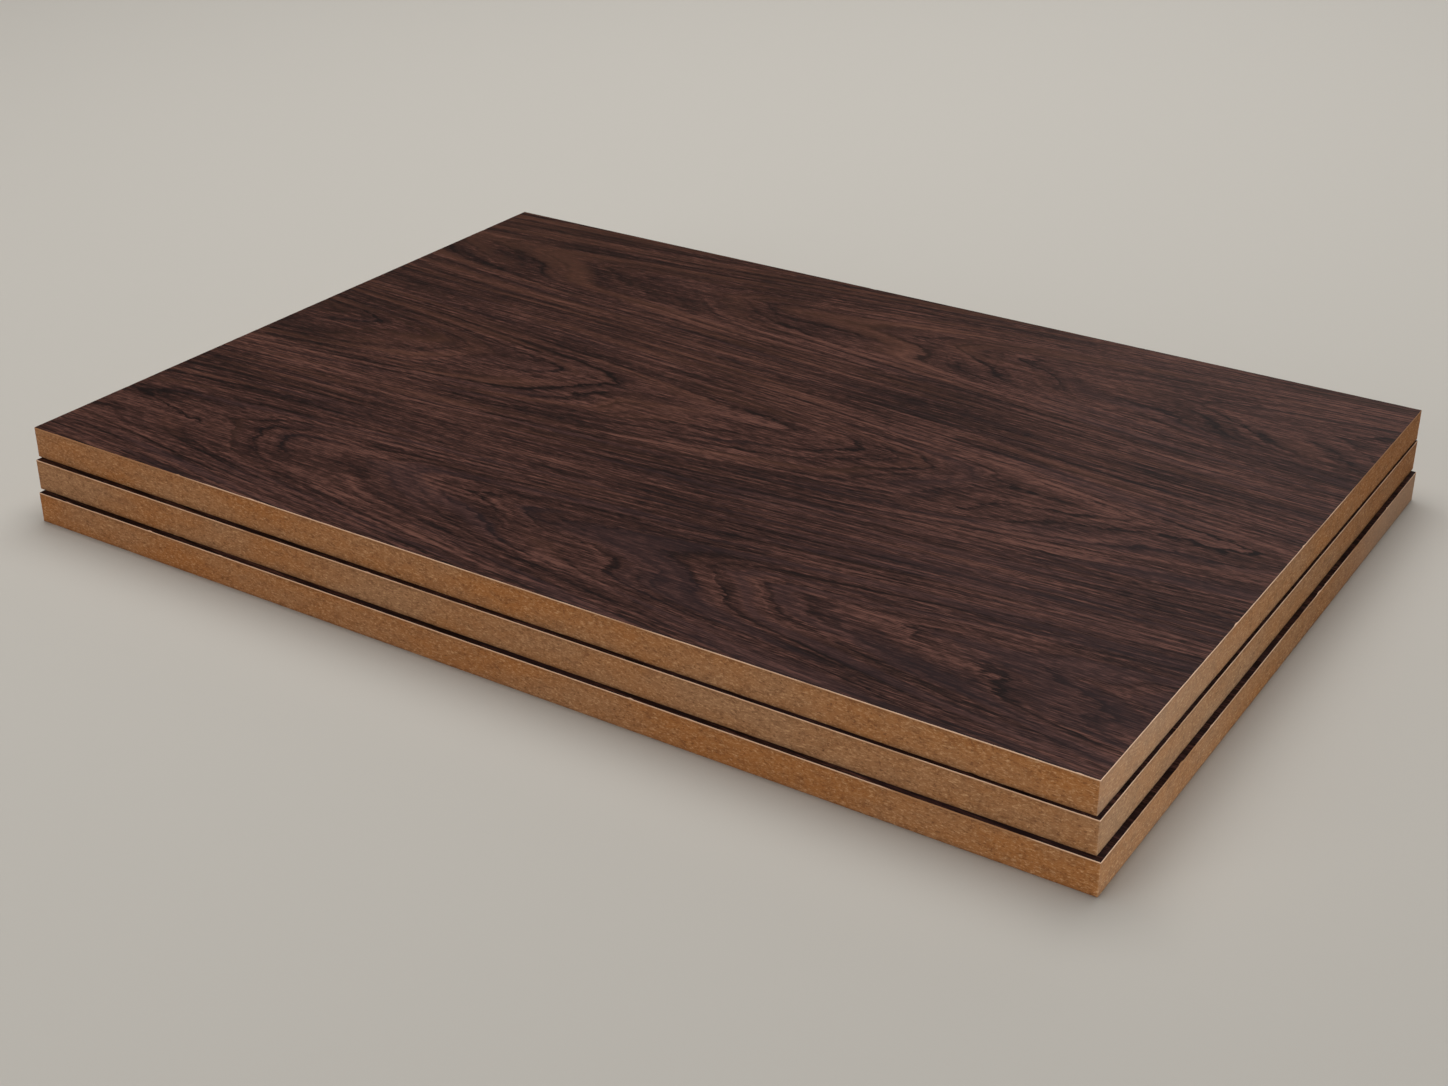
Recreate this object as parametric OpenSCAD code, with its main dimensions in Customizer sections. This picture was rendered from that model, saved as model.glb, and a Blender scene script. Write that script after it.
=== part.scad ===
// Stack of laminated fibreboard sheets
//
// Equal sheets lie flat on one another, slipped a few millimetres out of line
// by hand. Each sheet is a raw fibreboard core with a thin woodgrain face
// bonded over its whole upper side, sawn to size with the core so that its
// cut edge shows along the upper arris. The underside is plain fibreboard.
//
// Millimetres. +Z is up, and +X runs along the long side and the grain. The
// origin is on the floor, under the middle of the stack's own footprint.

/* [Sheet] */
// Length of a sheet, along the grain of its face
sheet_length = 650; // [300:5:1300]
// Width of a sheet, across the grain
sheet_width = 450; // [200:5:900]
// Full thickness of a sheet, woodgrain face included
sheet_thickness = 18; // [9:0.5:30]
// Thickness of the woodgrain face
face_thickness = 0.7; // [0.4:0.1:1.5]
// Width of the break that handling leaves on every sawn arris and corner
arris_break = 0.2; // [0.1:0.05:0.35]

/* [Middle sheet on the bottom sheet] */
// Slip along X from the sheet below, positive towards the right-hand end
middle_slip_x = -3.2; // [-10:0.1:10]
// Slip along Y from the sheet below, positive towards the back
middle_slip_y = 3.8; // [-10:0.1:10]
// Turn on the sheet below in degrees, positive anticlockwise from above
middle_turn = -0.06; // [-0.5:0.01:0.5]

/* [Top sheet on the middle sheet] */
// Slip along X from the sheet below, positive towards the right-hand end
top_slip_x = -1.7; // [-10:0.1:10]
// Slip along Y from the sheet below, positive towards the back
top_slip_y = 3.2; // [-10:0.1:10]
// Turn on the sheet below in degrees, positive anticlockwise from above
top_turn = -0.17; // [-0.5:0.01:0.5]

/* [Hidden] */

fibreboard_colour = "peru";
woodgrain_colour = "#45302b";

// Where each sheet's middle lies, counted from the bottom sheet, and how far it is turned
BOTTOM = 0;
MIDDLE = 1;
TOP = 2;
place_x = [0, middle_slip_x, middle_slip_x + top_slip_x];
place_y = [0, middle_slip_y, middle_slip_y + top_slip_y];
turn = [0, middle_turn, middle_turn + top_turn];

// Half of what a turned sheet measures across, from one broken corner to the other
function half_reach(along, across, angle) =
    along / 2 * cos(angle) + (across / 2 - arris_break) * abs(sin(angle));

half_x = [for (angle = turn) half_reach(sheet_length, sheet_width, angle)];
half_y = [for (angle = turn) half_reach(sheet_width, sheet_length, angle)];

// Middle of the box round all the sheets
centre_x = (max(place_x + half_x) + min(place_x - half_x)) / 2;
centre_y = (max(place_y + half_y) + min(place_y - half_y)) / 2;

fibreboard_thickness = sheet_thickness - face_thickness;

// Rectangle about the origin with its four corners broken
module broken_rectangle(width, height) {
    half_w = width / 2;
    half_h = height / 2;
    polygon([
        [-half_w, arris_break - half_h], [arris_break - half_w, -half_h],
        [half_w - arris_break, -half_h], [half_w, arris_break - half_h],
        [half_w, half_h - arris_break], [half_w - arris_break, half_h],
        [arris_break - half_w, half_h], [-half_w, half_h - arris_break]
    ]);
}

// One whole sheet on the floor plane, with every outer arris broken
module sheet_blank() {
    translate([0, 0, sheet_thickness / 2])
        intersection() {
            linear_extrude(sheet_thickness, center = true)
                broken_rectangle(sheet_length, sheet_width);
            rotate([90, 0, 0])
                linear_extrude(sheet_width, center = true)
                    broken_rectangle(sheet_length, sheet_thickness);
            rotate([90, 0, 90])
                linear_extrude(sheet_length, center = true)
                    broken_rectangle(sheet_width, sheet_thickness);
        }
}

// The level slice of a sheet between two heights
module sheet_slice(from_z, to_z) {
    intersection() {
        sheet_blank();
        translate([-sheet_length, -sheet_width, from_z])
            cube([2 * sheet_length, 2 * sheet_width, to_z - from_z]);
    }
}

// Puts a sheet's piece at its level in the stack, slipped and turned
module in_stack(level) {
    translate([
        place_x[level] - centre_x,
        place_y[level] - centre_y,
        level * sheet_thickness
    ])
        rotate([0, 0, turn[level]])
            children();
}

// Raw fibreboard of one sheet
module fibreboard(level) {
    color(fibreboard_colour)
        in_stack(level)
            sheet_slice(0, fibreboard_thickness);
}

// Woodgrain face over the whole upper side of one sheet
module woodgrain_face(level) {
    color(woodgrain_colour)
        in_stack(level)
            sheet_slice(fibreboard_thickness, sheet_thickness);
}

module bottom_fibreboard() { fibreboard(BOTTOM); }
module bottom_woodgrain_face() { woodgrain_face(BOTTOM); }
module middle_fibreboard() { fibreboard(MIDDLE); }
module middle_woodgrain_face() { woodgrain_face(MIDDLE); }
module top_fibreboard() { fibreboard(TOP); }
module top_woodgrain_face() { woodgrain_face(TOP); }

bottom_fibreboard();
bottom_woodgrain_face();
middle_fibreboard();
middle_woodgrain_face();
top_fibreboard();
top_woodgrain_face();
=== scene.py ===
"""Looks for a low stack of woodgrain fibreboard sheets.

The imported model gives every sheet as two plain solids: the raw fibreboard and
the thin woodgrain face bonded on it. This script reads where each sheet lies
from those solids and rebuilds both with sawn edges, broken arrises and small
chips, dresses them, and sets them in a plain studio.
"""

import logging
import math
import random
from dataclasses import dataclass
from enum import Enum

import bpy
from mathutils import Matrix, Vector, noise


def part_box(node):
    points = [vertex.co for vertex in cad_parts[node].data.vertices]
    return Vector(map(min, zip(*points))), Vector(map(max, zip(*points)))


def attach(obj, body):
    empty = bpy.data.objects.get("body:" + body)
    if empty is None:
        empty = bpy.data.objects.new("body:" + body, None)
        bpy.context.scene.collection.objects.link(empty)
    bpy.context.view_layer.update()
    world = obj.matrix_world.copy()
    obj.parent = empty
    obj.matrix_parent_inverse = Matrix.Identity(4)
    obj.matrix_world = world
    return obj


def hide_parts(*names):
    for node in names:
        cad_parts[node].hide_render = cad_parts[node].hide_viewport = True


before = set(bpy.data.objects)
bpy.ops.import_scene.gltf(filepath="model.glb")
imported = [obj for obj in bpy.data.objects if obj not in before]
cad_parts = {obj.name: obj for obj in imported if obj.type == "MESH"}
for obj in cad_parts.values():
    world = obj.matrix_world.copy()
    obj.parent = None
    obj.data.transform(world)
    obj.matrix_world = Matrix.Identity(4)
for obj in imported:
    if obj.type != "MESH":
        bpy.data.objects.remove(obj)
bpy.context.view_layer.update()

log = logging.getLogger("fibreboard_stack")

MM = 0.001
BODY = "root"
BAKE_MAP = "OFBake"
SEED_STEP_MM = 90.0
WOBBLE_STEP = 37.0
UPRIGHT_LIMIT = 0.01
LEVEL_LIMIT = 0.99

Shade = tuple[int, int, int]
Colour = tuple[float, float, float, float]
Spot = tuple[float, float, float]
Patch = tuple[float, float, float, float]


class Level(Enum):
    """The sheets of the stack, from the floor up."""

    BOTTOM = "bottom"
    MIDDLE = "middle"
    TOP = "top"


class Side(Enum):
    """The four sawn sides of a sheet, in order round its outline."""

    FRONT = 0
    RIGHT = 1
    BACK = 2
    LEFT = 3


class Operation(Enum):
    """The sums that a pattern may do with its signals."""

    ADD = "ADD"
    SUBTRACT = "SUBTRACT"
    MULTIPLY = "MULTIPLY"
    ABSOLUTE = "ABSOLUTE"
    FLOOR = "FLOOR"
    FRACTION = "FRACT"
    REMAINDER = "FLOORED_MODULO"


def linear(shade: Shade) -> Colour:
    """Turns a screen shade into the linear colour that a shader takes.

    Args:
        shade: Red, green and blue from 0 to 255, as a screen shows them.

    Returns:
        The same colour in linear light, with full opacity.
    """
    parts = [value / 255.0 for value in shade]
    lit = [p / 12.92 if p <= 0.04045 else ((p + 0.055) / 1.055) ** 2.4 for p in parts]
    return (lit[0], lit[1], lit[2], 1.0)


class Signal:
    """One value in a material's nodes, so that a pattern reads as arithmetic."""

    def __init__(self, recipe: "Recipe", socket: bpy.types.NodeSocket) -> None:
        """Wraps a node's output socket."""
        self.recipe = recipe
        self.socket = socket

    def __add__(self, other: "Signal | float") -> "Signal":
        """Adds a signal or a number."""
        return self.recipe.sum(Operation.ADD, self, other)

    def __sub__(self, other: "Signal | float") -> "Signal":
        """Takes away a signal or a number."""
        return self.recipe.sum(Operation.SUBTRACT, self, other)

    def __mul__(self, other: "Signal | float") -> "Signal":
        """Multiplies by a signal or a number."""
        return self.recipe.sum(Operation.MULTIPLY, self, other)

    def swing(self, reach: float) -> "Signal":
        """Centres a noise on zero and stretches it to about plus or minus reach."""
        return (self - 0.5) * (2.0 * reach)

    def at_least(self, least: float) -> "Signal":
        """Squeezes a value from 0 to 1 into the span from least to 1."""
        return self * (1.0 - least) + least

    def step(self, low: float, high: float) -> "Signal":
        """Fades softly from 0 to 1 as the value goes from low to high.

        Args:
            low: Where the fade starts.
            high: Where it ends. Below low, the fade runs the other way.

        Returns:
            The fade.
        """
        recipe = self.recipe
        node = recipe.node("ShaderNodeMapRange", Value=self, From_Min=low, From_Max=high)
        node.interpolation_type = "SMOOTHSTEP"
        return Signal(recipe, node.outputs["Result"])


class Recipe:
    """A material while it is written, with helpers that add its nodes."""

    def __init__(self, name: str) -> None:
        """Starts a material with an untouched principled shader.

        Args:
            name: What to call the material.
        """
        self.material = bpy.data.materials.new(name)
        self.material.use_nodes = True
        self.tree = self.material.node_tree
        self.shader = self.tree.nodes["Principled BSDF"]

    def feed(self, socket: bpy.types.NodeSocket, value: "Signal | float | Colour") -> None:
        """Links a signal to a socket, or writes a plain value on it.

        Args:
            socket: The input that takes the value.
            value: A signal, a number or a colour.
        """
        if isinstance(value, Signal):
            self.tree.links.new(value.socket, socket)
        else:
            socket.default_value = value

    def node(self, kind: str, **values: "Signal | float | Colour") -> bpy.types.Node:
        """Adds a node and feeds its inputs.

        Args:
            kind: Which node to add.
            values: What each named input takes, with an underscore for a space.

        Returns:
            The node.
        """
        node = self.tree.nodes.new(kind)
        for name, value in values.items():
            self.feed(node.inputs[name.replace("_", " ")], value)
        return node

    def sum(self, operation: Operation, *values: "Signal | float") -> Signal:
        """Does one sum on signals or numbers.

        Args:
            operation: Which sum to do.
            values: What it works on, in order.

        Returns:
            The result.
        """
        node = self.node("ShaderNodeMath")
        node.operation = operation.value
        for socket, value in zip(node.inputs, values):
            self.feed(socket, value)
        return Signal(self, node.outputs[0])

    def place(self) -> tuple[Signal, Signal, Signal]:
        """Measures where a surface point lies on its piece.

        Returns:
            The distances along the piece's X, Y and Z in millimetres.
        """
        where = self.node("ShaderNodeTexCoord")
        split = self.node("ShaderNodeSeparateXYZ", Vector=Signal(self, where.outputs["Object"]))
        x, y, z = [Signal(self, output) * (1.0 / MM) for output in split.outputs]
        return x, y, z

    def cloud(
        self,
        point: "tuple[Signal | float, Signal | float, Signal | float]",
        size: Spot,
        detail: float = 2.0,
        rough: float = 0.5,
    ) -> Signal:
        """Reads a cloudy noise at a point.

        Args:
            point: Three signals or numbers that say where.
            size: How large one cloud is along each of them, in the same units.
            detail: How many finer layers are added.
            rough: How strong each finer layer is beside the one before.

        Returns:
            The noise, from 0 to 1 and mostly near 0.5.
        """
        join = self.node("ShaderNodeCombineXYZ")
        for socket, value, across in zip(join.inputs, point, size):
            self.feed(socket, value * (1.0 / across))
        there = Signal(self, join.outputs["Vector"])
        cloud = self.node(
            "ShaderNodeTexNoise", Vector=there, Scale=1.0, Detail=detail, Roughness=rough
        )
        return Signal(self, cloud.outputs["Fac"])

    def curve(self, value: Signal, points: tuple[tuple[float, float], ...]) -> Signal:
        """Sends a value from 0 to 1 along a smooth curve through a few points.

        Args:
            value: The value to send.
            points: Pairs of a value and what it becomes, from 0 to 1.

        Returns:
            What the value becomes.
        """
        node = self.node("ShaderNodeFloatCurve", Value=value)
        line = node.mapping.curves[0]
        while len(line.points) < len(points):
            line.points.new(1.0, 1.0)
        for point, spot in zip(line.points, points):
            point.location = spot
            point.handle_type = "VECTOR" if spot in (points[0], points[-1]) else "AUTO_CLAMPED"
        node.mapping.update()
        return Signal(self, node.outputs["Value"])

    def ramp(self, value: Signal, stops: tuple[tuple[float, Shade], ...]) -> Signal:
        """Turns a value into a colour.

        Args:
            value: The value to colour.
            stops: Pairs of a value and the shade it gets, from low to high.

        Returns:
            The colour.
        """
        node = self.node("ShaderNodeValToRGB", Fac=value)
        band = node.color_ramp
        while len(band.elements) < len(stops):
            band.elements.new(1.0)
        for element, (at, shade) in zip(band.elements, stops):
            element.position = at
            element.color = linear(shade)
        return Signal(self, node.outputs["Color"])

    def blend(self, share: Signal, under: Signal, shade: Shade) -> Signal:
        """Lays one plain shade over a colour.

        Args:
            share: How much of the shade shows, from 0 to 1.
            under: The colour where the share is 0.
            shade: The shade where the share is 1.

        Returns:
            The mixed colour.
        """
        node = self.node("ShaderNodeMix")
        node.data_type = "RGBA"
        share_in, under_in, shade_in, colour_out = 0, 6, 7, 2
        self.feed(node.inputs[share_in], share)
        self.feed(node.inputs[under_in], under)
        self.feed(node.inputs[shade_in], linear(shade))
        return Signal(self, node.outputs[colour_out])

    def relief(self, height: Signal, depth_mm: float) -> None:
        """Bumps the surface, with its lowest and highest points a depth apart."""
        bump = self.node("ShaderNodeBump", Strength=1.0, Distance=depth_mm * MM, Height=height)
        self.feed(self.shader.inputs["Normal"], Signal(self, bump.outputs["Normal"]))

    def finish(
        self, colour: Signal, roughness: "Signal | float", specular: float
    ) -> bpy.types.Material:
        """Sets what the shader shows.

        Args:
            colour: The surface's colour.
            roughness: How dull it is, from 0 to 1.
            specular: How much it mirrors, where 0.5 is a plain varnish.

        Returns:
            The finished material.
        """
        self.feed(self.shader.inputs["Base Color"], colour)
        self.feed(self.shader.inputs["Roughness"], roughness)
        self.shader.inputs["Specular IOR Level"].default_value = specular
        return self.material

    def veil(self, share: Signal, shade: Shade) -> None:
        """Shows the camera a plain shade over the lit surface, and lights nothing with it.

        Args:
            share: How much of the shade shows, from 0 to 1.
            shade: The shade.
        """
        path = self.node("ShaderNodeLightPath")
        glow = self.node("ShaderNodeEmission", Color=linear(shade))
        seen = share * Signal(self, path.outputs["Is Camera Ray"])
        mix = self.node("ShaderNodeMixShader", Fac=seen)
        lit_in, glow_in = 1, 2
        self.tree.links.new(self.shader.outputs["BSDF"], mix.inputs[lit_in])
        self.tree.links.new(glow.outputs["Emission"], mix.inputs[glow_in])
        surface = self.tree.nodes["Material Output"].inputs["Surface"]
        self.tree.links.new(mix.outputs["Shader"], surface)


class GrainCut:
    """One sheet's own cut of the endless woodgrain, and the noises that lie in it.

    The grain runs along X and sways a little. Each noise takes a lift, a number
    that sets it apart from the others, the size of one cloud in millimetres, how
    many finer layers are added, and how strong each is beside the one before.
    """

    CUT_STEP_X_MM = 700.0
    CUT_STEP_Y_MM = 900.0

    def __init__(self, recipe: Recipe, seed: int, sway_mm: float, wave_mm: float) -> None:
        """Places the cut in the pattern.

        Args:
            recipe: The material being written.
            seed: Which cut this is.
            sway_mm: How far the grain sways over the length of a sheet.
            wave_mm: How far it waves over a hand's width.
        """
        self.recipe = recipe
        self.seed = seed
        self.x, self.y, _ = recipe.place()
        self.far_x = self.x + seed * self.CUT_STEP_X_MM
        self.far_y = self.y + seed * self.CUT_STEP_Y_MM
        sway = self.flat(0.0, 380.0, 150.0, detail=1.0).swing(sway_mm)
        wave = self.flat(3.0, 110.0, 16.0).swing(wave_mm)
        self.grain_y = self.y + sway + wave

    def flat(
        self, lift: float, length: float, width: float, detail: float = 2.0, rough: float = 0.5
    ) -> Signal:
        """Reads a noise from 0 to 1 that lies square on the sheet."""
        point = (self.far_x, self.y, self.seed + lift)
        return self.recipe.cloud(point, (length, width, 1.0), detail, rough)

    def grained(
        self, lift: float, length: float, width: float, detail: float = 2.0, rough: float = 0.5
    ) -> Signal:
        """Reads a noise from 0 to 1 that follows the swaying grain."""
        point = (self.far_x, self.grain_y, self.seed + lift)
        return self.recipe.cloud(point, (length, width, 1.0), detail, rough)

    def ringed(
        self, lift: float, rings: Signal, size: Spot, detail: float = 1.0, rough: float = 0.5
    ) -> Signal:
        """Reads a noise that changes from ring to ring, sized in rings and along X and Y."""
        return self.recipe.cloud((rings, self.far_x, self.far_y + lift), size, detail, rough)


@dataclass(frozen=True)
class Figure:
    """The large pattern in a cut: its rings, where they arch, and broken dashes along them."""

    rings: Signal
    straight: Signal
    arched: Signal
    dashes: Signal


@dataclass(frozen=True)
class WoodgrainFinish:
    """Dark satin woodgrain, with straight grain between rows of flat-sawn arches.

    The arches point along the sheet, to the left on one heart line and to the
    right on the next. Strengths are steps of tone, where 1 goes from the darkest
    tone to the lightest.
    """

    first_heart_mm: float = -155.0
    heart_spacing_mm: float = 160.0
    rings_between_hearts: float = 34.0
    arch_spacing_mm: float = 34.0
    climb: tuple[tuple[float, float], ...] = (
        (0.0, 0.0),
        (0.07, 0.03),
        (0.76, 0.93),
        (0.88, 0.965),
        (1.0, 1.0),
    )
    sway_mm: float = 7.0
    wave_mm: float = 0.9
    ring_drift: float = 2.4
    ring_jag: float = 0.3
    ring_hair: float = 0.2
    broad: float = 0.25
    broad_if_arched: float = 0.2
    bands: float = 0.32
    bands_if_arched: float = 0.5
    seams: float = 0.24
    late_band: float = 0.4
    late_line: float = 1.2
    late_wood: float = 0.12
    late_wood_if_arched: float = 0.26
    calm_figure: float = 0.4
    dark_dashes: float = 0.16
    dark_dashes_if_straight: float = 0.1
    light_dashes: float = 0.14
    dapple: float = 0.14
    pores: float = 0.43
    streaks: float = 0.54
    fibres: float = 0.54
    patches: float = 0.36
    # Painted shade: how much darker the woodgrain turns towards the back-left corner, and over how
    # far.
    painted_back_left_shade: float = 0.16
    back_left_mm: float = 500.0
    level: float = 0.57
    contrast: float = 1.22
    roughness: float = 0.46
    roughness_swing: float = 0.08
    specular: float = 0.04
    tones: tuple[tuple[float, Shade], ...] = (
        (0.0, (22, 11, 9)),
        (0.3, (42, 24, 20)),
        (0.5, (60, 36, 30)),
        (0.7, (78, 50, 43)),
        (1.0, (106, 70, 60)),
    )
    tan_shade: Shade = (94, 60, 45)
    plum_shade: Shade = (52, 36, 38)
    stain: float = 0.4
    tan_to_back: float = 0.0004
    plum_to_right: float = 0.0002
    relief_mm: float = 0.05
    streak_relief: float = 0.6
    fibre_relief: float = 0.4

    def make(self, name: str, seed: int) -> bpy.types.Material:
        """Writes the woodgrain for one sheet.

        Args:
            name: What to call the material.
            seed: Which part of the endless pattern this sheet was cut from.

        Returns:
            The finished material.
        """
        recipe = Recipe(name)
        cut = GrainCut(recipe, seed, self.sway_mm, self.wave_mm)
        figure = self.figure(cut)
        streaks = cut.grained(17.0, 75.0, 2.0, detail=3.0, rough=0.6)
        fibres = cut.grained(23.0, 6.0, 0.7, rough=0.6)
        tone = self.figure_tone(cut, figure)
        tone = self.fine_tone(cut, figure, tone)
        patches = cut.flat(27.0, 190.0, 45.0, detail=3.0, rough=0.55)
        tone = tone + streaks.swing(self.streaks) + fibres.swing(self.fibres)
        tone = tone + patches.swing(self.patches)
        # Painted shade: the woodgrain darkens towards the back-left corner, where less light falls.
        tone = tone - (cut.y - cut.x).step(0.0, self.back_left_mm) * self.painted_back_left_shade
        colour = recipe.ramp(tone * self.contrast + self.level, self.tones)
        colour = self.stained(cut, figure, colour)
        relief = streaks * self.streak_relief + fibres * self.fibre_relief
        recipe.relief(relief, self.relief_mm)
        roughness = streaks.swing(self.roughness_swing) + self.roughness
        return recipe.finish(colour, roughness, self.specular)

    def figure(self, cut: GrainCut) -> Figure:
        """Lays out the growth rings of a cut.

        Args:
            cut: The sheet's cut of the pattern.

        Returns:
            Its rings, where they arch or run straight, and the dashes along them.
        """
        recipe = cut.recipe
        hearts = (cut.grain_y - self.first_heart_mm) * (1.0 / self.heart_spacing_mm)
        past_heart = recipe.sum(Operation.FRACTION, hearts)
        straight = past_heart.step(0.04, 0.1) * past_heart.step(0.9, 0.7)
        arched = straight * -1.0 + 1.0
        drift = cut.flat(9.0, 130.0, 80.0, detail=1.0).swing(self.ring_drift)
        jag = cut.flat(2.0, 11.0, 5.0).swing(self.ring_jag)
        hair = cut.grained(5.0, 9.0, 1.0).swing(self.ring_hair)
        rings = self.rings(cut, hearts) + (drift + jag) * (arched + 0.2) + hair
        dashes = cut.ringed(200.0, rings, (0.3, 75.0, 90.0))
        return Figure(rings, straight, arched, dashes)

    def rings(self, cut: GrainCut, hearts: Signal) -> Signal:
        """Counts growth rings across the sheet, which turn back at each heart line.

        Args:
            cut: The sheet's cut of the pattern.
            hearts: Distance across the sheet, counted in heart lines.

        Returns:
            The number of rings crossed so far.
        """
        recipe = cut.recipe
        climb = recipe.curve(recipe.sum(Operation.FRACTION, hearts), self.climb)
        odd_heart = recipe.sum(Operation.REMAINDER, recipe.sum(Operation.FLOOR, hearts), 2.0)
        across = climb + odd_heart - climb * odd_heart * 2.0
        return across * self.rings_between_hearts - cut.x * (1.0 / self.arch_spacing_mm)

    def figure_tone(self, cut: GrainCut, figure: Figure) -> Signal:
        """Shades the rings: broad and narrow bands, late wood, dark seams and dashes.

        Args:
            cut: The sheet's cut of the pattern.
            figure: Its rings.

        Returns:
            The tone, around 0.
        """
        recipe = cut.recipe
        rings, straight, arched = figure.rings, figure.straight, figure.arched
        growth = recipe.sum(Operation.FRACTION, rings)
        late = growth.step(0.1, 0.8) * growth.step(1.0, 0.86)
        line = growth.step(0.72, 0.9) * growth.step(1.0, 0.93)
        vigour = cut.ringed(300.0, rings, (1.3, 120.0, 150.0))
        late = (late * self.late_band + line * self.late_line) * vigour.step(0.38, 0.56)
        pair = recipe.sum(Operation.FRACTION, rings * 0.5)
        seam = pair.step(0.72, 0.88) * pair.step(1.0, 0.94)
        seam = seam * straight * vigour.step(0.6, 0.42)
        calm = cut.flat(41.0, 150.0, 60.0)
        figured = calm.step(0.36, 0.6) * arched + straight
        broad = cut.ringed(0.0, rings, (2.6, 260.0, 150.0)).swing(self.broad)
        bands = cut.ringed(100.0, rings, (0.6, 140.0, 120.0)).swing(self.bands)
        dashes = figure.dashes.step(0.44, 0.32)
        tone = broad * straight.at_least(self.broad_if_arched)
        tone = tone + bands * straight.at_least(self.bands_if_arched)
        tone = tone - dashes * (straight * self.dark_dashes_if_straight + self.dark_dashes)
        tone = tone - seam * self.seams - late * (arched * self.late_wood_if_arched + self.late_wood)
        return tone * figured.at_least(self.calm_figure)

    def fine_tone(self, cut: GrainCut, figure: Figure, tone: Signal) -> Signal:
        """Adds what is smaller than a ring: light dashes, dapple and pores.

        Args:
            cut: The sheet's cut of the pattern.
            figure: Its rings.
            tone: The tone so far.

        Returns:
            The tone with the small marks in it.
        """
        dapple = cut.grained(19.0, 9.0, 2.4, detail=1.0).swing(self.dapple)
        tone = tone + figure.dashes.step(0.57, 0.72) * self.light_dashes + dapple
        pores = cut.grained(37.0, 16.0, 0.6, detail=1.0)
        tone = tone - pores.step(0.42, 0.3) * self.pores
        return tone + pores.step(0.62, 0.74) * self.pores

    def stained(self, cut: GrainCut, figure: Figure, colour: Signal) -> Signal:
        """Stains the colour tan in some rings and plum in others.

        Args:
            cut: The sheet's cut of the pattern.
            figure: Its rings.
            colour: The plain colour.

        Returns:
            The stained colour.
        """
        recipe = cut.recipe
        hue = cut.ringed(400.0, figure.rings, (1.4, 200.0, 120.0), detail=3.0, rough=0.55)
        hue = hue + cut.y * self.tan_to_back - cut.x * self.plum_to_right
        colour = recipe.blend(hue.step(0.52, 0.75) * self.stain, colour, self.tan_shade)
        return recipe.blend(hue.step(0.46, 0.28) * self.stain, colour, self.plum_shade)


@dataclass(frozen=True)
class CutEdgeFinish:
    """The pale sawn edge of the woodgrain face, soiled at its left and back ends."""

    pale: Shade = (226, 184, 152)
    soiled: Shade = (168, 118, 78)
    line_mm: float = 0.35
    line_fade_mm: tuple[float, float] = (0.15, 0.1)
    end_wear: float = 0.25
    fresh_right_of_mm: float = -400.0
    fresh_front_of_mm: float = 300.0
    fade_mm: float = 60.0
    roughness: float = 0.7
    specular: float = 0.3

    def make(self, name: str, seed: int) -> bpy.types.Material:
        """Writes the cut edge for one sheet.

        Args:
            name: What to call the material.
            seed: Sets one sheet apart from the next.

        Returns:
            The finished material.
        """
        recipe = Recipe(name)
        x, y, z = recipe.place()
        wear = recipe.cloud((x, y, z + seed * SEED_STEP_MM), (90.0, 90.0, 8.0), 4.0, 0.6)
        left, back = self.fresh_right_of_mm, self.fresh_front_of_mm
        left_end = x.step(left + self.fade_mm, left - self.fade_mm)
        back_end = y.step(back - self.fade_mm, back + self.fade_mm)
        wear = wear - (left_end + back_end) * self.end_wear
        below, above = self.line_fade_mm
        above_line = z.step(self.line_mm - below, self.line_mm + above)
        pale = wear.step(0.35, 0.5) * above_line
        colour = recipe.ramp(pale, ((0.0, self.soiled), (1.0, self.pale)))
        return recipe.finish(colour, self.roughness, self.specular)


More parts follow.
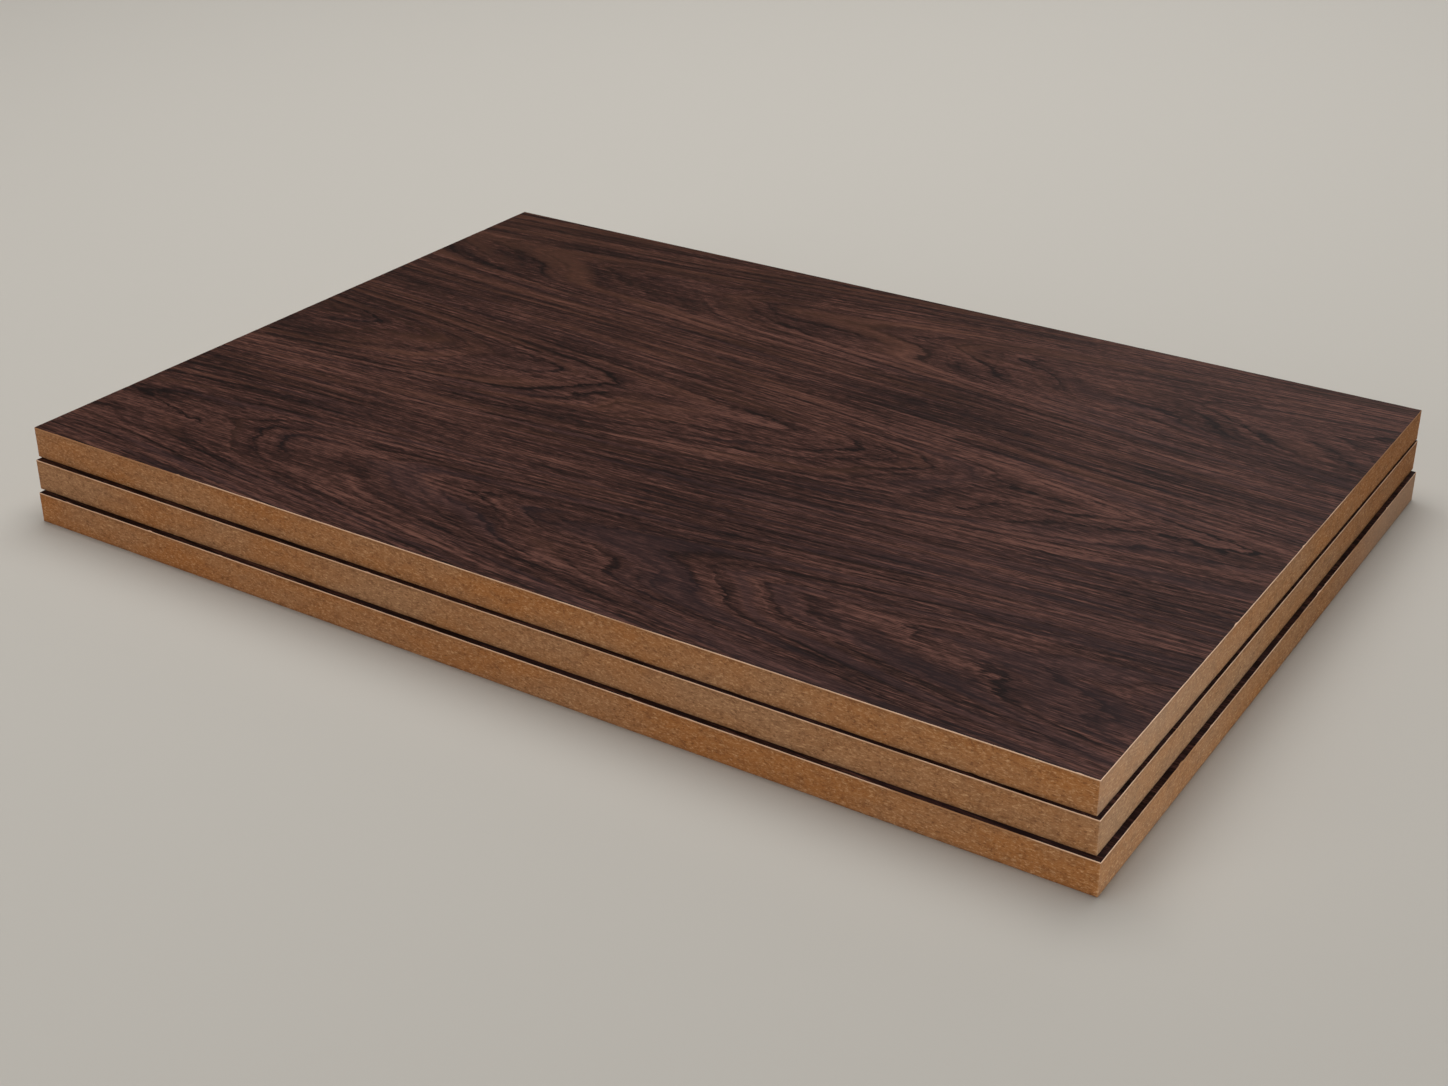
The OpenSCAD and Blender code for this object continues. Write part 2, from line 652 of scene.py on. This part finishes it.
@dataclass(frozen=True)
class FibreboardFinish:
    """Raw fibreboard: a tan felt of fine fibres, darker towards its pressed skins.

    The cut at the right is paler at its front end, and on some sheets at its back end: a
    painted highlight. Each highlight value is how much of the fibreboard that shade hides there.
    """

    orange: Shade = (162, 102, 52)
    grey: Shade = (158, 113, 77)
    pale_fibre: Shade = (206, 158, 112)
    dark_fibre: Shade = (92, 54, 28)
    # The pale shade of the painted highlight on the right cut.
    painted_highlight_shade: Shade = (190, 158, 132)
    greyness: float = 0.0
    warm_back: float = 0.0
    painted_front_highlight: float = 0.25
    painted_back_highlight: float = 0.0
    pale_strands: float = 0.46
    pale_felt: float = 0.36
    pale_specks: float = 0.28
    dark_felt: float = 0.52
    dark_specks: float = 0.6
    dark_mottle: float = 0.3
    curl_mm: float = 2.2
    skin_mm: float = 2.2
    skin_shade: float = 0.22
    roughness: float = 0.85
    specular: float = 0.25
    relief_mm: float = 0.12

    def make(
        self, name: str, length_mm: float, thickness_mm: float, seed: int
    ) -> bpy.types.Material:
        """Writes the raw fibreboard of one sheet.

        Args:
            name: What to call the material.
            length_mm: The sheet's size along X.
            thickness_mm: How thick the fibreboard is.
            seed: Sets one sheet apart from the next.

        Returns:
            The finished material.
        """
        recipe = Recipe(name)
        x, y, z = recipe.place()
        far_z = z + seed * SEED_STEP_MM
        patches = recipe.cloud((x, y, far_z), (70.0, 70.0, 30.0), 3.0, 0.55) + self.greyness
        patches = patches - y.step(20.0, 200.0) * self.warm_back
        colour = recipe.ramp(patches, ((0.32, self.orange), (0.68, self.grey)))
        curl = recipe.cloud((x, y, far_z + 40.0), (5.0, 5.0, 4.0), 1.0).swing(self.curl_mm)
        felt = recipe.cloud((x + curl, y + curl, far_z), (2.2, 2.2, 1.0), 3.0, 0.6)
        colour = self.fibres(recipe, (x, y, far_z), curl, felt, colour)
        off_middle = recipe.sum(Operation.ABSOLUTE, z - thickness_mm / 2.0)
        skin = off_middle.step(thickness_mm / 2.0 - self.skin_mm, thickness_mm / 2.0)
        colour = recipe.blend(skin * self.skin_shade, colour, self.dark_fibre)
        # Painted highlight: the right cut turns paler towards its front end, and on some sheets
        # towards its back end.
        right = x.step(length_mm / 2.0 - 0.5, length_mm / 2.0 - 0.2)
        painted_front_highlight = y.step(20.0, -190.0) * self.painted_front_highlight
        painted_back_highlight = y.step(60.0, 180.0) * self.painted_back_highlight
        colour = recipe.blend(right * (painted_front_highlight + painted_back_highlight), colour, self.painted_highlight_shade)
        recipe.relief(felt, self.relief_mm)
        return recipe.finish(colour, self.roughness, self.specular)

    def fibres(
        self,
        recipe: Recipe,
        place: tuple[Signal, Signal, Signal],
        curl: Signal,
        felt: Signal,
        colour: Signal,
    ) -> Signal:
        """Lays pale strands, dark clumps and small specks over the plain fibreboard.

        Args:
            recipe: The material being written.
            place: Where the point lies, in millimetres.
            curl: How far the strands are pushed aside there, in millimetres.
            felt: The noise of the felt, from 0 to 1.
            colour: The plain colour.

        Returns:
            The colour with the fibres in it.
        """
        x, y, z = place
        strand = recipe.cloud((x + curl, y - curl, z + 21.0), (3.4, 3.4, 1.0))
        strand = recipe.sum(Operation.ABSOLUTE, strand - 0.5)
        mottle = recipe.cloud((x, y, z + 7.0), (7.0, 7.0, 4.0))
        speck = recipe.cloud((x, y, z + 60.0), (1.3, 1.3, 1.0), 1.0)
        light = strand.step(0.08, 0.02) * felt.step(0.42, 0.62) * self.pale_strands
        light = light + felt.step(0.56, 0.72) * self.pale_felt
        dark = felt.step(0.44, 0.3) * self.dark_felt
        dark = dark + speck.step(0.35, 0.26) * self.dark_specks
        clouded = mottle.step(0.42, 0.72) * self.dark_mottle
        colour = recipe.blend(clouded, colour, self.dark_fibre)
        colour = recipe.blend(light, colour, self.pale_fibre)
        colour = recipe.blend(dark, colour, self.dark_fibre)
        flecked = speck.step(0.62, 0.74) * self.pale_specks
        return recipe.blend(flecked, colour, self.pale_fibre)


@dataclass(frozen=True)
class Lie:
    """How one sheet lies in the stack, in metres and radians."""

    centre: Vector
    turn: float
    length: float
    width: float

    @classmethod
    def of_node(cls, node: str) -> "Lie":
        """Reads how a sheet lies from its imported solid.

        Args:
            node: The solid's name.

        Returns:
            Its middle at its lowest level, its turn from above and its plan size.
        """
        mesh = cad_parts[node].data
        upright = [face for face in mesh.polygons if abs(face.normal.z) < UPRIGHT_LIMIT]
        front = max(upright, key=lambda face: (face.normal.y < 0.0) * face.area)
        turn = math.atan2(front.normal.x, -front.normal.y)
        low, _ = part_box(node)
        unturn = Matrix.Rotation(-turn, 3, "Z")
        spots = [unturn @ vertex.co for vertex in mesh.vertices]
        xs = [spot.x for spot in spots]
        ys = [spot.y for spot in spots]
        middle = Vector(((max(xs) + min(xs)) / 2.0, (max(ys) + min(ys)) / 2.0, low[2]))
        centre = unturn.transposed() @ middle
        return cls(centre, turn, max(xs) - min(xs), max(ys) - min(ys))

    def matrix(self) -> Matrix:
        """Carries a point from the sheet's own frame to the stack's."""
        return Matrix.Translation(self.centre) @ Matrix.Rotation(self.turn, 4, "Z")


@dataclass(frozen=True)
class Post:
    """One upright line of points on a sheet's sawn outline, and which way is inward."""

    spot: Vector
    inward: Vector


@dataclass(frozen=True)
class Ring:
    """One level line round a sheet: its height and how far in each point lies, in mm."""

    heights: list[float]
    depths: list[float]


class Outline:
    """The sawn outline of a sheet, walked once round at an even pace."""

    def __init__(self, length: float, width: float, pace: float, corner: float) -> None:
        """Sets posts along the four sides, with one more on each rounded corner.

        Args:
            length: The sheet's size along X, in millimetres.
            width: The sheet's size along Y, in millimetres.
            pace: About how far apart the posts stand, in millimetres.
            corner: How far the four upright corners are rounded, in millimetres.
        """
        self.length = length
        self.width = width
        self.posts: list[Post] = []
        for side in Side:
            self.add_side(side, pace, corner)

    def add_side(self, side: Side, pace: float, corner: float) -> None:
        """Adds one side's posts and the corner post that ends it.

        Args:
            side: Which side.
            pace: About how far apart the posts stand, in millimetres.
            corner: How far the corner is rounded, in millimetres.
        """
        spin = Matrix.Rotation(side.value * math.pi / 2.0, 2)
        lengthwise = side in (Side.FRONT, Side.BACK)
        run = self.length if lengthwise else self.width
        reach = (self.width if lengthwise else self.length) / 2.0
        count = max(2, round((run - 2.0 * corner) / pace))
        inward = spin @ Vector((0.0, 1.0))
        for index in range(count + 1):
            along = corner + (run - 2.0 * corner) * index / count
            self.posts.append(Post(spin @ Vector((along - run / 2.0, -reach)), inward))
        heart = Vector((run / 2.0 - corner, corner - reach))
        slant = Vector((1.0, -1.0)).normalized()
        self.posts.append(Post(spin @ (heart + slant * corner), spin @ -slant))


@dataclass(frozen=True)
class Chip:
    """A small piece broken out of an arris: where it is, how long and how deep, in mm."""

    spot: Vector
    half_length: float
    depth: float

    def bite(self, spot: Vector) -> float:
        """Says how deep the chip is at a point of the arris, in millimetres."""
        share = (spot - self.spot).length / self.half_length
        return self.depth * math.sqrt(max(0.0, 1.0 - share * share))


@dataclass(frozen=True)
class FlatLayout:
    """How a slab is laid flat on a unit square: both caps, and its wall cut into rows.

    Each cap is given as its left, its bottom, its width and its height.
    """

    upper_side: Patch
    underside: Patch
    wall_bottom: float
    wall_rows: int
    row_height: float
    gap: float = 0.012

    def on_cap(self, cap: Patch, across: float, up: float) -> tuple[float, float]:
        """Places a point of a cap, given from 0 to 1 both ways."""
        left, bottom, width, height = cap
        return (left + width * across, bottom + height * up)

    def on_wall(self, post: int, ahead: int, posts: int, up: float) -> tuple[float, float]:
        """Places a point of the wall.

        Args:
            post: The post at which the point's own part of the wall starts.
            ahead: How many posts past it the point stands.
            posts: How many posts the whole outline has.
            up: How far up the wall the point is, from 0 to 1.

        Returns:
            The point's place on the unit square.
        """
        row_posts = math.ceil(posts / self.wall_rows)
        row, place = divmod(post, row_posts)
        across = self.gap + (1.0 - 2.0 * self.gap) * (place + ahead) / row_posts
        row_bottom = self.wall_bottom + row * (self.row_height + self.gap)
        return (across, row_bottom + self.row_height * up)


class Slab:
    """Builds a closed mesh from level rings round an outline, with flat caps."""

    def __init__(self, outline: Outline) -> None:
        """Starts a slab on an outline."""
        self.outline = outline
        self.rings: list[Ring] = []

    def add(self, heights: list[float], depths: list[float]) -> None:
        """Adds the next ring up."""
        self.rings.append(Ring(heights, depths))

    def vertices(self) -> list[Vector]:
        """Places every ring's points.

        Returns:
            The points in millimetres, ring by ring.
        """
        spots = []
        for ring in self.rings:
            for post, height, depth in zip(self.outline.posts, ring.heights, ring.depths):
                flat = post.spot + post.inward * depth
                spots.append(Vector((flat.x, flat.y, height)))
        return spots

    def faces(self) -> list[tuple[int, ...]]:
        """Joins the rings into walls and closes the ends.

        Returns:
            The walls, ring by ring, then the underside and the upper side.
        """
        count = len(self.outline.posts)
        walls = []
        for level in range(len(self.rings) - 1):
            for post in range(count):
                after = (post + 1) % count
                low = level * count
                walls.append((low + post, low + after, low + count + after, low + count + post))
        under = tuple(reversed(range(count)))
        last = (len(self.rings) - 1) * count
        return walls + [under, tuple(range(last, last + count))]

    def climbs(self) -> list[float]:
        """Measures how far up the wall each ring is, along its surface.

        Returns:
            One share for each ring, from 0 to 1.
        """
        runs = [0.0]
        for low, high in zip(self.rings, self.rings[1:]):
            steps = zip(low.heights, high.heights, low.depths, high.depths)
            lengths = [math.hypot(top - foot, into - out) for foot, top, out, into in steps]
            runs.append(runs[-1] + sum(lengths) / len(lengths))
        return [run / runs[-1] for run in runs]

    def lay_flat(self, mesh: bpy.types.Mesh, layout: FlatLayout) -> None:
        """Lays every face of the slab flat on one map.

        Args:
            mesh: The slab's mesh, with its faces in the order of faces().
            layout: Where the caps and the wall go.
        """
        count = len(self.outline.posts)
        climbs = self.climbs()
        spots = []
        for low, high in zip(climbs, climbs[1:]):
            for post in range(count):
                spots.append(layout.on_wall(post, 0, count, low))
                spots.append(layout.on_wall(post, 1, count, low))
                spots.append(layout.on_wall(post, 1, count, high))
                spots.append(layout.on_wall(post, 0, count, high))
        for face, cap in zip(mesh.polygons[-2:], (layout.underside, layout.upper_side)):
            for corner in face.vertices:
                spot = mesh.vertices[corner].co / MM
                across = spot.x / self.outline.length + 0.5
                spots.append(layout.on_cap(cap, across, spot.y / self.outline.width + 0.5))
        layer = mesh.uv_layers.new(name=BAKE_MAP)
        layer.data.foreach_set("uv", [part for spot in spots for part in spot])

    def build(
        self, name: str, lie: Lie, sharp_rings: tuple[int, ...], layout: FlatLayout
    ) -> bpy.types.Object:
        """Makes the mesh object where the sheet lies.

        Args:
            name: The piece's name.
            lie: How the sheet lies in the stack.
            sharp_rings: The rings at which the surface turns sharply.
            layout: How the piece is laid flat on its map.

        Returns:
            The object, with a smooth wall and flat caps.
        """
        mesh = bpy.data.meshes.new(name)
        mesh.from_pydata([spot * MM for spot in self.vertices()], [], self.faces())
        walls = len(mesh.polygons) - 2
        for index, face in enumerate(mesh.polygons):
            face.use_smooth = index < walls
        count = len(self.outline.posts)
        sharp_levels = [ring % len(self.rings) for ring in sharp_rings]
        for edge in mesh.edges:
            first, second = [corner // count for corner in edge.vertices]
            if first == second and first in sharp_levels:
                edge.use_edge_sharp = True
        self.lay_flat(mesh, layout)
        piece = bpy.data.objects.new(name, mesh)
        piece.matrix_world = lie.matrix()
        bpy.context.scene.collection.objects.link(piece)
        return piece


@dataclass
class Sheet:
    """One laminated sheet: raw fibreboard with a woodgrain face bonded on it.

    Rounds and drops are shares of the width to which an arris is broken.
    """

    level: Level
    seed: int
    fibreboard: FibreboardFinish
    woodgrain: WoodgrainFinish
    cut_edge: CutEdgeFinish = CutEdgeFinish()
    pace_mm: float = 1.0
    corner_mm: float = 0.45
    inset_mm: float = 0.005
    arris_mm: float = 0.2
    arris_top_mm: float = 1.2
    wall_rings: int = 10
    saw_depth_mm: float = 0.05
    saw_waves_mm: tuple[float, float] = (28.0, 2.4)
    saw_shares: tuple[float, float] = (0.7, 0.3)
    chip_half_lengths_mm: tuple[float, float] = (0.8, 2.6)
    arris_swing: float = 0.5
    arris_wave_mm: float = 9.0
    lower_round: float = 0.3
    upper_drops: tuple[float, float] = (0.9, 0.25)
    upper_round: float = 0.35
    lower_chips: int = 13
    lower_chip_depth_mm: float = 0.5
    upper_chips: int = 26
    upper_chip_depth_mm: float = 0.55

    def __post_init__(self) -> None:
        """Reads the sheet's two solids and walks its outline."""
        self.board_node = f"{self.level.value}_fibreboard"
        self.face_node = f"{self.level.value}_woodgrain_face"
        self.board_lie = Lie.of_node(self.board_node)
        self.face_lie = Lie.of_node(self.face_node)
        length = self.board_lie.length / MM - 2.0 * self.inset_mm
        width = self.board_lie.width / MM - 2.0 * self.inset_mm
        self.outline = Outline(length, width, self.pace_mm, self.corner_mm)
        self.draw = random.Random(self.seed)

    def thickness_mm(self, node: str) -> float:
        """Measures how thick a solid is."""
        low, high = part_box(node)
        return (high[2] - low[2]) / MM

    def wobble(self, size_mm: float, lift: float) -> list[float]:
        """Reads a soft random run round the outline.

        Args:
            size_mm: How long one swing is, in millimetres.
            lift: Sets one run apart from another.

        Returns:
            One value for each post, from about -1 to 1.
        """
        shift = self.seed * WOBBLE_STEP + lift
        spots = [post.spot / size_mm for post in self.outline.posts]
        return [noise.noise(Vector((spot.x, spot.y, shift))) for spot in spots]

    def arris(self, count: int, deepest: float, lift: float) -> list[float]:
        """Says how far the arris is broken at each post.

        Args:
            count: How many chips it has.
            deepest: How deep the worst chip may be, in millimetres.
            lift: Sets one arris apart from another.

        Returns:
            The width of the break at each post, in millimetres.
        """
        posts = self.outline.posts
        chips = [
            Chip(
                self.draw.choice(posts).spot,
                self.draw.uniform(*self.chip_half_lengths_mm),
                deepest * self.draw.random() ** 2.0,
            )
            for _ in range(count)
        ]
        widths = []
        for post, swing in zip(posts, self.wobble(self.arris_wave_mm, lift)):
            bite = max((chip.bite(post.spot) for chip in chips), default=0.0)
            widths.append(self.arris_mm * (1.0 + self.arris_swing * swing) + bite)
        return widths

    def saw_relief(self, height: float) -> list[float]:
        """Says how far in the sawn wall lies along one level.

        Args:
            height: How high the level is, in millimetres.

        Returns:
            The depth at each post, in millimetres.
        """
        long_mm, short_mm = self.saw_waves_mm
        much, little = self.saw_shares
        runs = zip(self.wobble(long_mm, height * 0.05), self.wobble(short_mm, 50.0 + height * 0.9))
        half = self.saw_depth_mm / 2.0
        return [half + half * (much * a + little * b) for a, b in runs]

    def build_board(self) -> bpy.types.Object:
        """Builds the raw fibreboard with its sawn sides and broken lower arris.

        Returns:
            The fibreboard.
        """
        thickness = self.thickness_mm(self.board_node)
        broken = self.arris(self.lower_chips, self.lower_chip_depth_mm, 1.0)
        count = len(self.outline.posts)
        flush = [0.0] * count
        rounded = [width * self.lower_round for width in broken]
        slab = Slab(self.outline)
        slab.add(flush, broken)
        slab.add(rounded, rounded)
        slab.add(broken, flush)
        for index in range(self.wall_rings):
            share = index / self.wall_rings
            height = self.arris_top_mm + (thickness - self.arris_top_mm) * share
            slab.add([height] * count, self.saw_relief(height))
        slab.add([thickness] * count, flush)
        layout = FlatLayout(
            upper_side=(0.512, 0.012, 0.476, 0.33),
            underside=(0.012, 0.012, 0.476, 0.33),
            wall_bottom=0.356,
            wall_rows=9,
            row_height=0.058,
        )
        return slab.build(f"{self.level.value}_sawn_fibreboard", self.board_lie, (0, -1), layout)

    def build_face(self) -> bpy.types.Object:
        """Builds the woodgrain face with its pale cut edge and chipped upper arris.

        Returns:
            The woodgrain face.
        """
        thickness = self.thickness_mm(self.face_node)
        broken = self.arris(self.upper_chips, self.upper_chip_depth_mm, 2.0)
        count = len(self.outline.posts)
        flush = [0.0] * count
        slab = Slab(self.outline)
        slab.add(flush, flush)
        drop, shoulder_drop = self.upper_drops
        shoulder = [width * self.upper_round for width in broken]
        slab.add([thickness - width * drop for width in broken], flush)
        slab.add([thickness - width * shoulder_drop for width in broken], shoulder)
        slab.add([thickness] * count, broken)
        layout = FlatLayout(
            upper_side=(0.012, 0.012, 0.976, 0.676),
            underside=(0.012, 0.9, 0.13, 0.088),
            wall_bottom=0.7,
            wall_rows=5,
            row_height=0.024,
        )
        return slab.build(f"{self.level.value}_decor_face", self.face_lie, (0, -1), layout)

    def dress_board(self, piece: bpy.types.Object) -> None:
        """Gives the fibreboard its finish.

        Args:
            piece: The fibreboard.
        """
        name = f"{self.level.value} raw fibreboard"
        length = self.board_lie.length / MM
        thickness = self.thickness_mm(self.board_node)
        piece.data.materials.append(self.fibreboard.make(name, length, thickness, self.seed))

    def dress_face(self, piece: bpy.types.Object) -> None:
        """Gives the upper side its woodgrain and the wall its pale cut edge.

        Args:
            piece: The woodgrain face.
        """
        prefix = self.level.value
        piece.data.materials.append(self.woodgrain.make(f"{prefix} woodgrain", self.seed))
        piece.data.materials.append(self.cut_edge.make(f"{prefix} cut edge", self.seed))
        for face in piece.data.polygons:
            face.material_index = 0 if face.normal.z > LEVEL_LIMIT else 1

    def place(self, piece: bpy.types.Object, node: str, slot: str) -> None:
        """Puts a piece in its solid's place on the body, and reports it.

        Args:
            piece: The piece.
            node: The solid that it stands for.
            slot: Not used.
        """
        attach(piece, BODY)
        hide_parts(node)
        log.info("%s: %d faces", piece.name, len(piece.data.polygons))

    def build(self) -> None:
        """Builds, dresses and places both pieces of the sheet."""
        board = self.build_board()
        self.dress_board(board)
        self.place(board, self.board_node, "raw_fibreboard")
        face = self.build_face()
        self.dress_face(face)
        self.place(face, self.face_node, "woodgrain_laminate")


@dataclass(frozen=True)
class Lamp:
    """A square soft lamp: where it hangs, its width, its power and what it looks at."""

    name: str
    spot: Spot
    size: float
    watts: float
    shade: Spot
    aim: Spot = (0.0, 0.0, 0.0)
    spread_degrees: float = 180.0
    lights_floor: bool = True

    def hang(self, floor: bpy.types.Object) -> None:
        """Hangs the lamp in the studio.

        Args:
            floor: The floor, which some lamps leave unlit.
        """
        light = bpy.data.lights.new(self.name, "AREA")
        light.shape = "SQUARE"
        light.size = self.size
        light.energy = self.watts
        light.color = self.shade
        light.spread = math.radians(self.spread_degrees)
        lamp = bpy.data.objects.new(self.name, light)
        lamp.location = self.spot
        away = Vector(self.aim) - Vector(self.spot)
        lamp.rotation_euler = away.to_track_quat("-Z", "Y").to_euler()
        bpy.context.scene.collection.objects.link(lamp)
        if not self.lights_floor:
            unlit = bpy.data.collections.new(f"{self.name}_unlit")
            unlit.objects.link(floor)
            unlit.collection_objects[0].light_linking.link_state = "EXCLUDE"
            lamp.light_linking.receiver_collection = unlit


@dataclass
class Studio:
    """A plain pale floor with a low round wall, soft lamps and the camera."""

    floor_shade: Shade = (198, 194, 187)
    floor_roughness: float = 0.9
    floor_specular: float = 0.1
    wall_shade: Shade = (250, 248, 244)
    backdrop_shade: Shade = (200, 196, 189)
    pale_from_mm: float = 1700.0
    backdrop_from_mm: float = 1550.0
    backdrop_full_mm: float = 2300.0
    floor_reach: float = 5.0
    floor_turns: int = 96
    wall_height: float = 1.5
    cove: float = 0.8
    cove_steps: int = 8
    all_round_light: float = 0.12
    lamps: tuple[Lamp, ...] = (
        Lamp("overhead_lamp", (-0.4, 0.7, 2.5), 2.4, 64.0, (1.0, 0.99, 0.97)),
        Lamp("back_lamp", (-0.2, 2.6, 1.0), 1.4, 5.0, (0.97, 0.98, 1.0)),
        Lamp("front_fill_lamp", (-0.9, -2.4, 0.7), 1.6, 17.6, (1.0, 0.98, 0.95)),
        Lamp(
            "right_fill_lamp",
            (1.15, -0.5, 0.25),
            0.3,
            0.73,
            (0.7, 0.87, 1.0),
            aim=(0.33, -0.22, 0.03),
            spread_degrees=60.0,
            lights_floor=False,
        ),
    )
    azimuth: float = 32.73
    elevation: float = 27.57
    distance: float = 1.0537
    aim: tuple[float, float] = (0.0758, -0.1289)
    lens: float = 51.94
    sensor: float = 36.0
    camera_reach: float = 50.0

    def floor_profile(self) -> list[tuple[float, float]]:
        """Draws the sweep from the middle of the floor to the top of the wall.

        Returns:
            Pairs of a reach and a height, in metres.
        """
        profile = [(0.0, 0.0), (self.floor_reach - self.cove, 0.0)]
        for step in range(1, self.cove_steps + 1):
            angle = math.pi / 2.0 * step / self.cove_steps
            reach = self.floor_reach - self.cove + self.cove * math.sin(angle)
            profile.append((reach, self.cove * (1.0 - math.cos(angle))))
        return profile + [(self.floor_reach, self.wall_height)]

    def floor_finish(self) -> bpy.types.Material:
        """Writes the floor's plain finish, paler towards the wall.

        Returns:
            The finished material.
        """
        recipe = Recipe("studio floor")
        x, y, _ = recipe.place()
        wall_mm = self.floor_reach / MM
        reach = x * x + y * y
        far = reach.step(self.pale_from_mm**2, wall_mm**2)
        colour = recipe.ramp(far, ((0.0, self.floor_shade), (1.0, self.wall_shade)))
        veiled = reach.step(self.backdrop_from_mm**2, self.backdrop_full_mm**2)
        recipe.veil(veiled, self.backdrop_shade)
        return recipe.finish(colour, self.floor_roughness, self.floor_specular)

    def build_floor(self) -> bpy.types.Object:
        """Turns a floor, a cove and a low wall round the stack in one sweep.

        Returns:
            The floor with its wall.
        """
        profile = self.floor_profile()
        turns = self.floor_turns
        vertices = [(0.0, 0.0, 0.0)]
        for reach, up in profile[1:]:
            for turn in range(turns):
                angle = 2.0 * math.pi * turn / turns
                vertices.append((reach * math.cos(angle), reach * math.sin(angle), up))
        faces = [(0, 1 + turn, 1 + (turn + 1) % turns) for turn in range(turns)]
        for ring in range(len(profile) - 2):
            low = 1 + ring * turns
            for turn in range(turns):
                after = (turn + 1) % turns
                faces.append((low + turn, low + turns + turn, low + turns + after, low + after))
        mesh = bpy.data.meshes.new("studio_floor")
        mesh.from_pydata(vertices, [], faces)
        for face in mesh.polygons:
            face.use_smooth = True
        mesh.materials.append(self.floor_finish())
        floor = bpy.data.objects.new("studio_floor", mesh)
        bpy.context.scene.collection.objects.link(floor)
        return floor

    def light(self, floor: bpy.types.Object) -> None:
        """Hangs the soft lamps and sets a faint all-round light.

        Args:
            floor: The floor that the lamps stand over.
        """
        for lamp in self.lamps:
            lamp.hang(floor)
        world = bpy.data.worlds.new("studio_world")
        world.use_nodes = True
        background = world.node_tree.nodes["Background"]
        background.inputs["Color"].default_value = (1.0, 1.0, 1.0, 1.0)
        background.inputs["Strength"].default_value = self.all_round_light
        bpy.context.scene.world = world

    def build_camera(self) -> None:
        """Aims the camera down at the stack from its front right."""
        _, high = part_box("top_woodgrain_face")
        target = Vector((self.aim[0], self.aim[1], high[2]))
        swing = math.radians(self.azimuth)
        rise = math.radians(self.elevation)
        level = math.cos(rise)
        back = Vector((math.sin(swing) * level, -math.cos(swing) * level, math.sin(rise)))
        camera = bpy.data.cameras.new("camera")
        camera.lens = self.lens
        camera.sensor_width = self.sensor
        camera.clip_end = self.camera_reach
        holder = bpy.data.objects.new("camera", camera)
        holder.location = target + back * self.distance
        holder.rotation_euler = back.to_track_quat("Z", "Y").to_euler()
        bpy.context.scene.collection.objects.link(holder)
        bpy.context.scene.camera = holder

    def build(self) -> None:
        """Builds the camera, the floor and the lamps, and sets plain colours."""
        self.build_camera()
        floor = self.build_floor()
        self.light(floor)
        bpy.context.scene.view_settings.view_transform = "Standard"


def stack() -> tuple[Sheet, Sheet, Sheet]:
    """Lists the sheets from the floor up, each with its own finishes.

    Returns:
        The bottom, the middle and the top sheet.
    """
    # The bottom and middle sheets share a darker woodgrain: painted shade for the narrow ledges that
    # show between the sheets.
    painted_shade_woodgrain = WoodgrainFinish(level=0.36)
    bottom = Sheet(
        Level.BOTTOM,
        seed=1,
        fibreboard=FibreboardFinish(greyness=-0.09, painted_front_highlight=0.13, painted_back_highlight=0.5),
        woodgrain=painted_shade_woodgrain,
    )
    middle = Sheet(
        Level.MIDDLE,
        seed=2,
        fibreboard=FibreboardFinish(greyness=0.08, warm_back=0.2, painted_front_highlight=0.12),
        woodgrain=painted_shade_woodgrain,
    )
    top = Sheet(
        Level.TOP,
        seed=37,
        fibreboard=FibreboardFinish(greyness=-0.03, warm_back=0.3),
        woodgrain=WoodgrainFinish(),
        cut_edge=CutEdgeFinish(fresh_right_of_mm=-210.0, fresh_front_of_mm=140.0),
    )
    return bottom, middle, top


def main() -> None:
    """Builds the studio and the stack, and writes how large the result is."""
    logging.basicConfig(level=logging.INFO, format="%(name)s: %(message)s")
    Studio().build()
    for sheet in stack():
        sheet.build()


if __name__ == "__main__":
    main()
